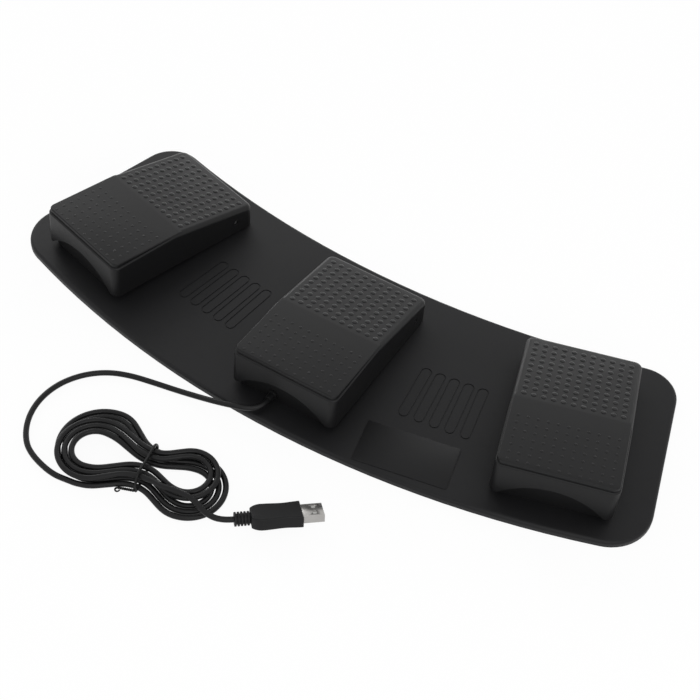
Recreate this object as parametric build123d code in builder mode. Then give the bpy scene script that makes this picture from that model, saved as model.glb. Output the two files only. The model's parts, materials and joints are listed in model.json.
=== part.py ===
from build123d import *
import math
import os

os.makedirs("parts", exist_ok=True)

# A three-pedal foot switch: one curved base plate, three rocking pedals on it, a board in the middle
# pedal's housing, and a cable tied in a hank that ends in a USB plug.
# Frame: origin on the table under the middle of the plate, +X along the plate, +Y to the toe side,
# +Z up. All lengths are in millimetres and all angles in degrees.

# Base plate
plate_length = 440.0
plate_depth = 169.5
plate_bend_radius = 614.0
plate_end_angle = 14.0
plate_toe_corner = 28.5
plate_heel_corner = 21.5
plate_top = 5.0
plate_foot_gap = 0.5
plate_edge_round = 2.0

# Anti-slip mat, in a recess in the plate's underside
mat_thickness = 1.5
mat_margin = 3.0
mat_gap = 0.3

# Label
label_length = 58.0
label_width = 31.0
label_thickness = 0.3
label_corner = 1.5
label_x = -79.6
label_y = 58.6
label_angle = 11.3

# Pedals: places of the three, then the outline of one. Heights are over the plate's top.
pedal_sides = {"left": -1, "middle": 0, "right": 1}
pedal_fan_radius = 616.5
pedal_fan_angle = 15.64
pedal_toe_line = 69.5
pedal_width = 72.0
pedal_length = 112.0
pedal_toe_rise = 30.65
pedal_kink_rise = 28.1
pedal_heel_rise = 16.6
pedal_kink_place = 51.5
pedal_corner = 5.0
toe_rake = 1.4
toe_foot_rise = 4.5
heel_skirt_rise = 0.5
cover_wall = 2.2
panel_inset = 1.0
panel_round = 0.8
ledge_drop = 0.4
ledge_round = 1.2
heel_round = 3.0
arch_side_width = 5.5
arch_crown_rise = 17.0

# Hinge
pin_radius = 1.25
pin_heel_place = 14.8
pin_rise = 9.5
pin_recess_radius = 1.8
pin_recess_depth = 0.7
pin_running_gap = 0.06
pin_fixed_gap = 0.02
pin_boss_radius = 4.0
pin_boss_length = 3.0

# Pedal base, the fixed lower housing
base_wall = 2.0
base_floor = 2.0
base_side_gap = 0.7
base_front_gap = 0.6
base_heel_gap = 1.2
base_front_rise = 19.0
base_heel_rise = 11.5
base_corner = 2.5

# Base screws, driven up through the plate
screw_radius = 1.45
screw_head_radius = 2.8
screw_head_height = 1.6
screw_head_gap = 0.2
screw_length = 9.5
screw_hole_gap = 0.15
screw_boss_radius = 3.5
screw_boss_height = 8.0
screw_side_place = 9.0
screw_front_place = 14.0
screw_pin_spacing = 8.2
mat_hole_gap = 0.6

# Return spring
spring_place = 26.0
spring_coil_radius = 4.2
spring_wire = 1.2
spring_turns = 6
spring_seat_radius = 6.0
spring_seat_height = 5.0
spring_peg_radius = 2.8
spring_peg_height = 3.0
spring_top_gap = 0.1

# Snap switch with its plunger and two screws
switch_place = 68.0
switch_length = 19.8
switch_width = 6.4
switch_height = 10.2
switch_lift = 2.0
switch_edge_round = 0.4
switch_screw_spacing = 9.5
switch_screw_height = 3.0
switch_screw_radius = 1.05
switch_screw_head_radius = 1.9
switch_screw_head_height = 1.2
switch_rib_width = 3.0
switch_rib_margin = 1.5
plunger_place = 70.0
plunger_radius = 1.3
plunger_gap = 0.08
plunger_reach = 1.8
plunger_length = 4.2
plunger_well = 4.5
plunger_dome = 0.5
plunger_rest_gap = 0.05
press_post_radius = 2.5

# Controller board, in the middle pedal's base. Places are from the pedal's centre line and toe edge.
board_width = 20.0
board_length = 38.0
board_thickness = 1.6
board_x = -18.0
board_place = 39.0
board_lift = 3.5
board_post_radius = 2.2
board_post_margin = 3.0
board_screw_radius = 0.9
board_screw_head_radius = 1.7
board_screw_head_height = 1.1
chip_size = 7.0
chip_height = 1.2
chip_place = 38.0
plug_block_length = 8.0
plug_block_depth = 5.0
plug_block_height = 5.2

# Switch leads: pairs that leave a switch at its heel end, and channels for them under the plate
lead_radius = 0.65
lead_spacing = 1.7
lead_bend = 1.6
lead_run = 4.0
lead_hole_x = 20.0
lead_hole_radius = 2.4
lead_channel_width = 4.8
lead_channel_depth = 1.8
lead_channel_gap = 0.1

# Cable: jacket, gland in the middle base's front wall, clamp and cores inside
cord_diameter = 3.5
bend_share = 0.45
cord_bore_gap = 0.05
gland_x = 8.0
gland_rise = 4.2
gland_flange_radius = 3.1
gland_flange = 1.2
gland_neck_radius = 2.4
gland_sleeve = 4.5
gland_sleeve_radius = 2.3
gland_hole_gap = 0.03
clamp_place = 9.0
clamp_length = 17.0
clamp_width = 5.0
clamp_thickness = 2.2
clamp_spread = 6.0
clamp_post_radius = 2.2
clamp_screw_radius = 0.9
clamp_screw_length = 5.0
jacket_end_place = 12.5
core_radius = 0.45
core_offset = 0.62
core_run = 2.6
core_bend = 1.5

# Hank: loops in two layers, drawn in at the tie
hank_x = 43.5
hank_y = 148.5
hank_angle = 8.5
hank_lobe_reach = 32.5
hank_outer_radius = 23.5
hank_lobe_gap = 1.4
hank_waist_gap = 0.9
hank_half_turns = 6
hank_draw_in = 9.3
hank_layer_gap = 0.45
hank_table_gap = 0.2
hank_tie_lift = 1.0
hank_end_run = 3.5
hank_end_climb = 2.5
cord_end_run = 13.0
cord_exit_run = 5.5
tail_start_run = 6.0
tail_end_run = 7.8
gap_skip = 28.0
gap_steps = 900

# Tie round the hank's waist
tie_width = 2.2
tie_thickness = 0.8
tie_gap = 0.35
tie_place = 3.0
tie_stem_length = 4.5
tie_stem_sink = 0.3
tie_stem_radius = 0.9

# Plug, its mouth dipped a little and the body rolled about its own axis
plug_x = -22.89
plug_y = 153.3
plug_height = 8.19
plug_angle = 221.0
plug_dip = 2.75
plug_roll = -19.5
boot_length = 9.2
boot_radius = 4.1
boot_groove_radius = 3.1
boot_ribs = 5
boot_rib_share = 0.6
plug_body_length = 28.7
plug_body_width = 15.9
plug_body_thickness = 7.8
plug_body_waist = 14.6
plug_body_rear = 10.0
plug_shoulder_share = 0.22
plug_waist_share = 0.66
plug_body_round = 1.0
shell_length = 12.2
shell_width = 12.0
shell_height = 4.5
shell_wall = 0.3
shell_window = 2.2
shell_window_place = 5.2
shell_window_spread = 5.6
tongue_width = 11.0
tongue_thickness = 1.9
contact_width = 1.1
contact_thickness = 0.2
contact_spacing_shares = (-0.318, -0.114, 0.114, 0.318)

# One overrun for every cut
overrun = 1.0

# Places that follow the pedal's own length and width
arch_half_width = pedal_width / 2 - arch_side_width
pin_place = pedal_length - pin_heel_place
screw_spread = pedal_width / 2 - screw_side_place
screw_heel_place = pin_place - screw_pin_spacing

# Heights over the table of what stands on the plate, and the steps between neighbouring loops
pedal_toe_height = plate_top + pedal_toe_rise
pedal_kink_height = plate_top + pedal_kink_rise
pedal_heel_height = plate_top + pedal_heel_rise
toe_foot_height = plate_top + toe_foot_rise
heel_skirt_height = plate_top + heel_skirt_rise
arch_crown_height = plate_top + arch_crown_rise
pin_height = plate_top + pin_rise
base_front_height = plate_top + base_front_rise
base_heel_height = plate_top + base_heel_rise
gland_height = plate_top + gland_rise
hank_step = cord_diameter + hank_lobe_gap
hank_waist_step = cord_diameter + hank_waist_gap

# Plate outline: two bends about centres on the Y axis, and two slanted ends
end_cos = math.cos(math.radians(plate_end_angle))
end_sin = math.sin(math.radians(plate_end_angle))
toe_bend_y = plate_depth / 2 - plate_bend_radius
toe_corner_x = plate_length / 2 - plate_toe_corner
toe_corner_y = toe_bend_y + math.sqrt((plate_bend_radius - plate_toe_corner) ** 2 - toe_corner_x**2)
end_offset = toe_corner_x * end_cos - toe_corner_y * end_sin + plate_toe_corner
heel_corner_y = plate_heel_corner - plate_depth / 2
heel_corner_x = (end_offset - plate_heel_corner + heel_corner_y * end_sin) / end_cos
heel_bend_y = heel_corner_y - math.sqrt(
    (plate_bend_radius + plate_heel_corner) ** 2 - heel_corner_x**2
)


def end_crossing(bend_y):
    """Where the slanted right end meets the bend whose centre is at bend_y."""
    across = end_offset + bend_y * end_sin
    along = bend_y * end_cos + math.sqrt(plate_bend_radius**2 - across**2)
    return (
        end_offset * end_cos + along * end_sin,
        along * end_cos - end_offset * end_sin,
    )


def mirrored(point):
    return (-point[0], point[1])


toe_end = end_crossing(toe_bend_y)
heel_end = end_crossing(heel_bend_y)

with BuildSketch() as plate_outline:
    with BuildLine():
        ThreePointArc(mirrored(toe_end), (0, toe_bend_y + plate_bend_radius), toe_end)
        Line(toe_end, heel_end)
        ThreePointArc(heel_end, (0, heel_bend_y + plate_bend_radius), mirrored(heel_end))
        Line(mirrored(heel_end), mirrored(toe_end))
    make_face()
    fillet(plate_outline.vertices().sort_by(Axis.Y)[-2:], plate_toe_corner)
    fillet(plate_outline.vertices().sort_by(Axis.Y)[:2], plate_heel_corner)

with BuildSketch() as recess_outline:
    add(plate_outline.sketch)
    offset(amount=-mat_margin)

# Places of the pedals. A pedal's own frame has its origin on the table under the middle of its toe
# edge, +X across it and +Y out past the toe.
fan_y = pedal_toe_line - pedal_fan_radius


def fan_point(angle, radius):
    turn = math.radians(angle)
    return (radius * math.sin(turn), fan_y + radius * math.cos(turn))


def pedal_place(side):
    angle = pedal_fan_angle * pedal_sides[side]
    return Location((*fan_point(angle, pedal_fan_radius), 0), (0, 0, -angle))


screw_places = [
    (side * screw_spread, -place)
    for side in (-1, 1)
    for place in (screw_front_place, screw_heel_place)
]
lead_radius_on_fan = pedal_fan_radius - switch_place - switch_length / 2 - lead_run
lead_hole_angle = math.degrees(lead_hole_x / lead_radius_on_fan)
channel_sweep = pedal_fan_angle - 2 * lead_hole_angle

with BuildPart() as base_plate:
    with BuildSketch(Plane.XY.offset(plate_foot_gap)):
        add(plate_outline.sketch)
    extrude(amount=plate_top - plate_foot_gap)
    fillet(base_plate.faces().sort_by(Axis.Z)[-1].edges(), plate_edge_round)
    with BuildSketch():
        add(recess_outline.sketch)
    extrude(amount=mat_thickness, mode=Mode.SUBTRACT)
    for side in pedal_sides:
        with BuildSketch(Plane(pedal_place(side)).offset(mat_thickness)):
            with Locations(*screw_places):
                Circle(screw_head_radius + screw_hole_gap)
        extrude(amount=screw_head_height + screw_head_gap, mode=Mode.SUBTRACT)
        with BuildSketch(Plane(pedal_place(side)).offset(mat_thickness)):
            with Locations(*screw_places):
                Circle(screw_radius + screw_hole_gap)
        extrude(amount=plate_top, mode=Mode.SUBTRACT)
    for hand in (-1, 1):
        start_angle = 90 - hand * lead_hole_angle
        with BuildSketch(Plane.XY.offset(mat_thickness)):
            channel_line = CenterArc(
                (0, fan_y), lead_radius_on_fan, start_angle, -hand * channel_sweep, mode=Mode.PRIVATE
            )
            SlotArc(channel_line, lead_channel_width)
        extrude(amount=lead_channel_depth, mode=Mode.SUBTRACT)
        with BuildSketch(Plane.XY.offset(mat_thickness)):
            with Locations(channel_line @ 0, channel_line @ 1):
                Circle(lead_hole_radius)
        extrude(amount=plate_top, mode=Mode.SUBTRACT)

with BuildPart() as anti_slip_mat:
    with BuildSketch():
        add(recess_outline.sketch)
        offset(amount=-mat_gap)
    extrude(amount=mat_thickness)
    for side in pedal_sides:
        with BuildSketch(Plane(pedal_place(side))):
            with Locations(*screw_places):
                Circle(screw_head_radius + mat_hole_gap)
        extrude(amount=mat_thickness, mode=Mode.SUBTRACT)

with BuildPart() as label_sticker:
    with BuildSketch(Plane((label_x, label_y, plate_top))):
        RectangleRounded(label_length, label_width, label_corner, rotation=label_angle)
    extrude(amount=label_thickness)

# Pedal cover: side profile in the pedal's own frame, as (along, height) points
ledge_height = pedal_kink_height - ledge_drop
toe_slope = (pedal_toe_height - pedal_kink_height) / pedal_kink_place
heel_slope = (pedal_kink_height - pedal_heel_height) / (pedal_length - pedal_kink_place)
ledge_back = -pedal_kink_place - ledge_drop / heel_slope
front_lean = toe_rake / (pedal_toe_height - toe_foot_height)


def front_at(height):
    """The raked front face's place at a height."""
    return front_lean * (pedal_toe_height - height)


def cover_top(along):
    """Height of the cover's top over the table, toe panel and heel slope."""
    if along > -pedal_kink_place:
        return pedal_toe_height + toe_slope * along
    return pedal_kink_height + heel_slope * (along + pedal_kink_place)


def body_profile(drop):
    """Outline of the cover's body, its open underside lowered by drop."""
    foot = toe_foot_height - drop
    return [
        (front_at(foot), foot),
        (front_at(ledge_height), ledge_height),
        (ledge_back, ledge_height),
        (-pedal_length, pedal_heel_height),
        (-pedal_length, heel_skirt_height - drop),
    ]


def panel_profile(inset, lower, sink):
    """Outline of the raised toe panel, set in and lowered, with its underside sunk."""
    return [
        (-inset, ledge_height - sink),
        (-inset, cover_top(-inset) - lower),
        (-pedal_kink_place, pedal_kink_height - lower),
        (ledge_back, ledge_height - lower),
        (ledge_back, ledge_height - sink),
    ]


def is_upright(edge):
    return abs((edge % 0.5).Z) > 0.9


def is_ledge_rim(edge):
    """An edge round the ledge, but not the one across the cover at the kink."""
    centre = edge.center()
    return abs(centre.Z - ledge_height) < ledge_drop / 2 and centre.Y > ledge_back + ledge_drop


def is_panel_rim(edge):
    """A top edge of the toe panel, but not one that runs straight across behind the front."""
    centre = edge.center()
    across = abs((edge % 0.5).X) > 0.9 and centre.Y < -panel_inset - pedal_corner
    return abs(centre.Z - cover_top(centre.Y)) < ledge_drop / 2 and not across


arch_rise = arch_crown_height - toe_foot_height
arch_radius = (arch_half_width**2 + arch_rise**2) / (2 * arch_rise)
panel_width = pedal_width - 2 * panel_inset

with BuildPart() as cover_body:
    with BuildSketch(Plane.YZ):
        with BuildLine():
            Polyline(*body_profile(0), close=True)
        make_face()
    extrude(amount=pedal_width / 2, both=True)
    fillet(cover_body.edges().filter_by(is_upright), pedal_corner)
    slope_face = cover_body.faces().filter_by(lambda face: face.normal_at().Z > 0.9).sort_by(Axis.Y)[0]
    ledge_face = cover_body.faces().filter_by(lambda face: face.normal_at().Z > 0.9).sort_by(Axis.Y)[-1]
    fillet(slope_face.edges() - ledge_face.edges(), heel_round)
    ledge_rim = [edge for edge in cover_body.edges() if is_ledge_rim(edge)]
    fillet(ledge_rim, ledge_round)

with BuildPart() as toe_panel:
    with BuildSketch(Plane.YZ):
        with BuildLine():
            Polyline(*panel_profile(panel_inset, 0, cover_wall), close=True)
        make_face()
    extrude(amount=panel_width / 2, both=True)
    front_uprights = toe_panel.edges().filter_by(is_upright).group_by(Axis.Y)[-1]
    fillet(front_uprights, pedal_corner - panel_inset)
    fillet([edge for edge in toe_panel.edges() if is_panel_rim(edge)], panel_round)

# Hollow of the cover, and the posts that stand down into it
post_span = cover_wall / 2
spring_top = cover_top(-spring_place - spring_coil_radius - spring_wire) - cover_wall - spring_top_gap
floor_top = plate_top + base_floor
switch_bottom = floor_top + switch_lift
switch_top = switch_bottom + switch_height
plunger_top = switch_top + plunger_reach

with BuildPart() as pedal_cover:
    add(cover_body.part)
    add(toe_panel.part)
    with BuildSketch(Plane.YZ):
        with BuildLine():
            Polyline(*body_profile(2 * cover_wall), close=True)
        make_face()
        offset(amount=-cover_wall, kind=Kind.INTERSECTION)
    extrude(amount=pedal_width / 2 - cover_wall, both=True, mode=Mode.SUBTRACT)
    with BuildSketch(Plane.YZ):
        with BuildLine():
            Polyline(*panel_profile(panel_inset + cover_wall, cover_wall, 2 * cover_wall), close=True)
        make_face()
    extrude(amount=panel_width / 2 - cover_wall, both=True, mode=Mode.SUBTRACT)
    with BuildSketch(Plane.XZ.offset(-toe_rake - overrun)):
        with Locations((0, arch_crown_height - arch_radius)):
            Circle(arch_radius)
    extrude(amount=toe_rake + cover_wall + 2 * overrun, mode=Mode.SUBTRACT)
    for place, radius, bottom in (
        (spring_place, spring_peg_radius, spring_top - spring_peg_height),
        (plunger_place, press_post_radius, plunger_top + plunger_rest_gap),
    ):
        with BuildSketch(Plane.XY.offset(bottom)):
            with Locations((0, -place)):
                Circle(radius)
        extrude(amount=cover_top(-place) - post_span - bottom)
    for hand in (-1, 1):
        outer_face = Plane((hand * pedal_width / 2, -pin_place, pin_height), z_dir=(-hand, 0, 0))
        with BuildSketch(outer_face):
            Circle(pin_recess_radius)
        extrude(amount=pin_recess_depth, mode=Mode.SUBTRACT)
        with BuildSketch(outer_face):
            Circle(pin_radius + pin_running_gap)
        extrude(amount=cover_wall + overrun, mode=Mode.SUBTRACT)

# Pedal base: a tray with hinge bosses, screw bosses, a spring seat and a rib that holds the switch
base_half_width = pedal_width / 2 - cover_wall - base_side_gap
base_front = -cover_wall - base_front_gap
base_heel = -pedal_length + cover_wall + base_heel_gap
base_middle = (base_front + base_heel) / 2
base_length = base_front - base_heel
rib_x = -switch_width / 2 - switch_rib_width / 2
switch_screws_at = [
    (-switch_place + hand * switch_screw_spacing / 2, switch_bottom + switch_screw_height)
    for hand in (-1, 1)
]
board_bottom = floor_top + board_lift
board_top = board_bottom + board_thickness
board_corners = [
    (
        board_x + across * (board_width / 2 - board_post_margin),
        -board_place + along * (board_length / 2 - board_post_margin),
    )
    for across in (-1, 1)
    for along in (-1, 1)
]
board_screws_at = [board_corners[1], board_corners[3]]
clamp_posts_at = [(gland_x + hand * clamp_spread, -clamp_place) for hand in (-1, 1)]
clamp_bottom = gland_height + cord_diameter / 2


def build_base(holds_cable):
    """One pedal base. The middle one also carries the board and lets the cable in."""
    with BuildPart() as tray:
        with BuildSketch(Plane.YZ):
            with BuildLine():
                Polyline(
                    (base_front, plate_top),
                    (base_front, base_front_height),
                    (base_heel, base_heel_height),
                    (base_heel, plate_top),
                    close=True,
                )
            make_face()
        extrude(amount=base_half_width, both=True)
        fillet(tray.edges().filter_by(Axis.Z), base_corner)
        with BuildSketch(Plane((0, base_middle, floor_top))):
            Rectangle(2 * (base_half_width - base_wall), base_length - 2 * base_wall)
        extrude(amount=base_front_height, mode=Mode.SUBTRACT)
        with BuildSketch(Plane.XY.offset(plate_top)):
            with Locations(*screw_places):
                Circle(screw_boss_radius)
        extrude(amount=base_floor + screw_boss_height)
        with BuildSketch(Plane.XY.offset(plate_top)):
            with Locations(*screw_places):
                Circle(screw_radius)
        extrude(amount=base_floor + screw_boss_height - base_wall, mode=Mode.SUBTRACT)
        for radius, height in (
            (spring_seat_radius, spring_seat_height),
            (spring_peg_radius, spring_seat_height + spring_peg_height),
        ):
            with BuildSketch(Plane((0, -spring_place, plate_top))):
                Circle(radius)
            extrude(amount=base_floor + height)
        with BuildSketch(Plane((rib_x, -switch_place, plate_top))):
            Rectangle(switch_rib_width, switch_length - 2 * switch_rib_margin)
        extrude(amount=switch_top - switch_rib_margin - plate_top)
        with BuildSketch(Plane((0, -switch_place, plate_top))):
            Rectangle(switch_width, switch_length)
        extrude(amount=switch_bottom - plate_top)
        with BuildSketch(Plane.YZ.offset(rib_x - switch_rib_width)):
            with Locations(*switch_screws_at):
                Circle(switch_screw_radius)
        extrude(amount=2 * switch_rib_width, mode=Mode.SUBTRACT)
        for hand in (-1, 1):
            inner_face = Plane(
                (hand * (base_half_width - base_wall / 2), -pin_place, pin_height), z_dir=(-hand, 0, 0)
            )
            with BuildSketch(inner_face):
                Circle(pin_boss_radius)
            extrude(amount=base_wall / 2 + pin_boss_length)
            with BuildSketch(inner_face.offset(-base_wall)):
                Circle(pin_radius + pin_fixed_gap)
            extrude(amount=2 * base_wall + pin_boss_length, mode=Mode.SUBTRACT)
            with BuildSketch(Plane((hand * lead_hole_x, pedal_lead_line, plate_top))):
                Circle(lead_hole_radius)
            extrude(amount=base_floor, mode=Mode.SUBTRACT)
        if holds_cable:
            with BuildSketch(Plane.XY.offset(plate_top)):
                with Locations(*board_corners):
                    Circle(board_post_radius)
            extrude(amount=board_bottom - plate_top)
            with BuildSketch(Plane.XY.offset(plate_top)):
                with Locations(*clamp_posts_at):
                    Circle(clamp_post_radius)
            extrude(amount=clamp_bottom - plate_top)
            with BuildSketch(Plane.XY.offset(floor_top)):
                with Locations(*board_screws_at):
                    Circle(board_screw_radius)
            extrude(amount=board_lift, mode=Mode.SUBTRACT)
            with BuildSketch(Plane.XY.offset(floor_top)):
                with Locations(*clamp_posts_at):
                    Circle(clamp_screw_radius)
            extrude(amount=clamp_bottom, mode=Mode.SUBTRACT)
            with BuildSketch(Plane((gland_x, base_front + overrun, gland_height), z_dir=(0, -1, 0))):
                Circle(gland_neck_radius + gland_hole_gap)
            extrude(amount=base_wall + 2 * overrun, mode=Mode.SUBTRACT)
    return tray.part


pedal_lead_line = -switch_place - switch_length / 2 - lead_run

with BuildPart() as pedal_base:
    add(build_base(holds_cable=False))

with BuildPart() as middle_base:
    add(build_base(holds_cable=True))

with BuildPart() as hinge_pin:
    with BuildSketch(Plane((0, -pin_place, pin_height), z_dir=(1, 0, 0))):
        Circle(pin_radius)
    extrude(amount=pedal_width / 2 - pin_recess_depth, both=True)

# Return spring: coils from a formula, half a turn at a time
spring_low = floor_top + spring_seat_height + spring_wire / 2
spring_high = spring_top - spring_wire / 2
spring_rise = (spring_high - spring_low) / (2 * spring_turns)


def spring_point(half_turns):
    """A point on the coil after so many half turns."""
    turn = math.pi * half_turns
    return (
        spring_coil_radius * math.cos(turn),
        spring_coil_radius * math.sin(turn) - spring_place,
        spring_low + spring_rise * half_turns,
    )


with BuildPart() as return_spring:
    with BuildLine() as coil:
        for half_turn in range(2 * spring_turns):
            ThreePointArc(*(spring_point(half_turn + part) for part in (0, 0.5, 1)))
    with BuildSketch(Plane(coil.line @ 0, z_dir=coil.line % 0)):
        Circle(spring_wire / 2)
    sweep()

with BuildPart() as switch_body:
    with BuildSketch(Plane((0, -switch_place, switch_bottom))):
        Rectangle(switch_width, switch_length)
    extrude(amount=switch_height)
    fillet(switch_body.edges().filter_by(Axis.Z), switch_edge_round)
    with BuildSketch(Plane((0, -plunger_place, switch_top))):
        Circle(plunger_radius + plunger_gap)
    extrude(amount=-plunger_well, mode=Mode.SUBTRACT)
    with BuildSketch(Plane.YZ.offset(-switch_width)):
        with Locations(*switch_screws_at):
            Circle(switch_screw_radius)
    extrude(amount=2 * switch_width, mode=Mode.SUBTRACT)

with BuildPart() as switch_plunger:
    with BuildSketch(Plane((0, -plunger_place, plunger_top))):
        Circle(plunger_radius)
    extrude(amount=-plunger_length)
    fillet(switch_plunger.faces().sort_by(Axis.Z)[-1].edges(), plunger_dome)

with BuildPart() as switch_screws:
    with BuildSketch(Plane.YZ.offset(-switch_width / 2 - switch_rib_width)):
        with Locations(*switch_screws_at):
            Circle(switch_screw_radius)
    extrude(amount=switch_width + switch_rib_width)
    with BuildSketch(Plane.YZ.offset(switch_width / 2)):
        with Locations(*switch_screws_at):
            Circle(switch_screw_head_radius)
    extrude(amount=switch_screw_head_height)

head_bottom = mat_thickness + screw_head_gap
with BuildPart() as base_screws:
    with BuildSketch(Plane.XY.offset(head_bottom)):
        with Locations(*screw_places):
            Circle(screw_head_radius)
    extrude(amount=screw_head_height)
    with BuildSketch(Plane.XY.offset(head_bottom + screw_head_height)):
        with Locations(*screw_places):
            Circle(screw_radius)
    extrude(amount=screw_length)

pedal_pieces = {
    "pedal_cover": pedal_cover,
    "pedal_base": pedal_base,
    "hinge_pin": hinge_pin,
    "return_spring": return_spring,
    "switch_body": switch_body,
    "switch_plunger": switch_plunger,
    "switch_screws": switch_screws,
    "base_screws": base_screws,
}
for side in pedal_sides:
    for piece_name, piece in pedal_pieces.items():
        if (side, piece_name) == ("middle", "pedal_base"):
            piece = middle_base
        with BuildPart() as placed:
            add(piece.part.moved(pedal_place(side)))
        placed.part.label = f"{side}_{piece_name}"
        export_step(placed.part, f"parts/{side}_{piece_name}.step")

# Controller board in the middle base. The middle pedal isn't turned, so its frame only lies further
# along Y than the plate's.
toe_y = pedal_toe_line

with BuildPart() as controller_board:
    with BuildSketch(Plane((board_x, toe_y - board_place, board_bottom))):
        Rectangle(board_width, board_length)
        with Locations(*[(x - board_x, y + board_place) for x, y in board_screws_at]):
            Circle(board_screw_radius, mode=Mode.SUBTRACT)
    extrude(amount=board_thickness)

with BuildPart() as controller_chip:
    with BuildSketch(Plane((board_x, toe_y - chip_place, board_top))):
        Rectangle(chip_size, chip_size)
    extrude(amount=chip_height)

with BuildPart() as board_screws:
    for x, y in board_screws_at:
        with BuildSketch(Plane((x, toe_y + y, board_top))):
            Circle(board_screw_head_radius)
        extrude(amount=board_screw_head_height)
        with BuildSketch(Plane((x, toe_y + y, board_top))):
            Circle(board_screw_radius)
        extrude(amount=-board_thickness - board_lift)

# Connector blocks on the board: one for the cable at the toe end, one for each switch. Each place is
# the middle of the side that the wires go in by, and each heading points out of that side.
board_toe_end = toe_y - board_place + board_length / 2
board_heel_end = toe_y - board_place - board_length / 2
board_right_side = board_x + board_width / 2
block_gap = (board_width - 2 * plug_block_length) / 3
heel_block_spread = (plug_block_length + block_gap) / 2
right_block_y = toe_y - board_place - chip_size / 2 - plug_block_length / 2
wire_height = board_top + plug_block_height / 2
blocks = {
    "cable": (board_x, board_toe_end, (0, 1)),
    "left": (board_x - heel_block_spread, board_heel_end, (0, -1)),
    "middle": (board_x + heel_block_spread, board_heel_end, (0, -1)),
    "right": (board_right_side, right_block_y, (1, 0)),
}

with BuildPart() as board_connectors:
    for x, y, (out_x, out_y) in blocks.values():
        block_centre = (x - out_x * plug_block_depth / 2, y - out_y * plug_block_depth / 2, board_top)
        with BuildSketch(Plane(block_centre, x_dir=(-out_y, out_x, 0))):
            Rectangle(plug_block_length, plug_block_depth)
        extrude(amount=plug_block_height)


def tube(points, bend_radii, radius):
    """A tube of one radius along straight runs joined by arcs."""
    with BuildPart() as swept:
        with BuildLine() as route:
            FilletPolyline(*points, radius=bend_radii)
        with BuildSketch(Plane(route.line @ 0, z_dir=route.line % 0)):
            Circle(radius)
        sweep()
    return swept.part


def widest_bends(points, small_bend=None):
    """Arcs as large as their runs allow, or a small one at a corner that turns sharply."""
    bends = []
    for before, corner, after in zip(points, points[1:], points[2:]):
        arriving = Vector(*corner) - Vector(*before)
        leaving = Vector(*after) - Vector(*corner)
        half_turn = math.radians(arriving.get_angle(leaving)) / 2
        shorter = min(arriving.length, leaving.length)
        widest = bend_share * shorter / math.tan(half_turn)
        bends.append(small_bend if small_bend and half_turn > math.pi / 6 else widest)
    return bends


# Leads of the switches: each leaves its switch's heel end. Those of the side switches go down a hole,
# along the channel and up into the middle base. The two of a pair lie side by side.
lead_rest = mat_thickness + lead_channel_gap + lead_radius
switch_heel_end = -switch_place - switch_length / 2
channel_steps = 4


def side_lead(side, beside):
    """One lead of a side switch, its centre line shifted from the pair's."""
    hand = pedal_sides[side]
    shift = -hand * beside
    line = pedal_lead_line + shift
    places = [(beside, switch_heel_end), (beside, line), (-hand * lead_hole_x, line)]
    points = [(pedal_place(side) * Location((*place, wire_height))).position for place in places]
    for step in range(channel_steps + 1):
        angle = pedal_fan_angle - lead_hole_angle - channel_sweep * step / channel_steps
        points.append((*fan_point(hand * angle, lead_radius_on_fan + shift), lead_rest))
    hole = points[-1][:2]
    height = wire_height - shift
    points.append((*hole, height))
    if side == "right":
        points.append((hole[0], blocks["right"][1], height))
        points.append((*blocks["right"][:2], height))
    else:
        points.append((hole[0], blocks["left"][1], height))
    return points


def middle_lead(beside):
    """One lead of the middle switch, round the switch's heel end to its block."""
    line = toe_y + pedal_lead_line - beside
    block_x, block_y = blocks["middle"][:2]
    return [
        (beside, toe_y + switch_heel_end, wire_height),
        (beside, line, wire_height),
        (block_x - beside, line, wire_height),
        (block_x - beside, block_y, wire_height),
    ]


pair_shifts = (-lead_spacing / 2, lead_spacing / 2)
with BuildPart() as left_switch_leads:
    for beside in pair_shifts:
        route_points = side_lead("left", beside)
        add(tube(route_points, widest_bends(route_points, lead_bend), lead_radius))

with BuildPart() as middle_switch_leads:
    for beside in pair_shifts:
        route_points = middle_lead(beside)
        add(tube(route_points, widest_bends(route_points, lead_bend), lead_radius))

with BuildPart() as right_switch_leads:
    for beside in pair_shifts:
        route_points = side_lead("right", beside)
        add(tube(route_points, widest_bends(route_points, lead_bend), lead_radius))

# Gland: a flanged rubber sleeve, tapered outwards, that grips the cable in the front wall
wall_outside = toe_y + base_front
gland_end_y = wall_outside + gland_flange + gland_sleeve
cord_radius = cord_diameter / 2

with BuildPart() as cable_gland:
    with BuildSketch(Plane((gland_x, wall_outside, gland_height), x_dir=(1, 0, 0), z_dir=(0, 0, 1))):
        with BuildLine():
            Polyline(
                (cord_radius + cord_bore_gap, gland_flange + gland_sleeve),
                (gland_sleeve_radius, gland_flange + gland_sleeve),
                (gland_neck_radius, gland_flange),
                (gland_flange_radius, gland_flange),
                (gland_flange_radius, 0),
                (gland_neck_radius, 0),
                (gland_neck_radius, -base_wall),
                (cord_radius + cord_bore_gap, -base_wall),
                close=True,
            )
        make_face()
    revolve(axis=Axis((gland_x, wall_outside, gland_height), (0, 1, 0)))

with BuildPart() as cable_end:
    with BuildSketch(Plane((gland_x, gland_end_y, gland_height), z_dir=(0, -1, 0))):
        Circle(cord_radius)
    extrude(amount=gland_end_y - toe_y + jacket_end_place)

with BuildPart() as cable_cores:
    cores_y = toe_y - jacket_end_place - core_run
    for across in (-core_offset, core_offset):
        for up in (-core_offset, core_offset):
            route_points = [
                (gland_x + across, toe_y - jacket_end_place, gland_height + up),
                (gland_x + across, cores_y - across, gland_height + up),
                (board_x + across, cores_y - across, wire_height + up),
                (board_x + across, board_toe_end, wire_height + up),
            ]
            add(tube(route_points, core_bend, core_radius))

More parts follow.
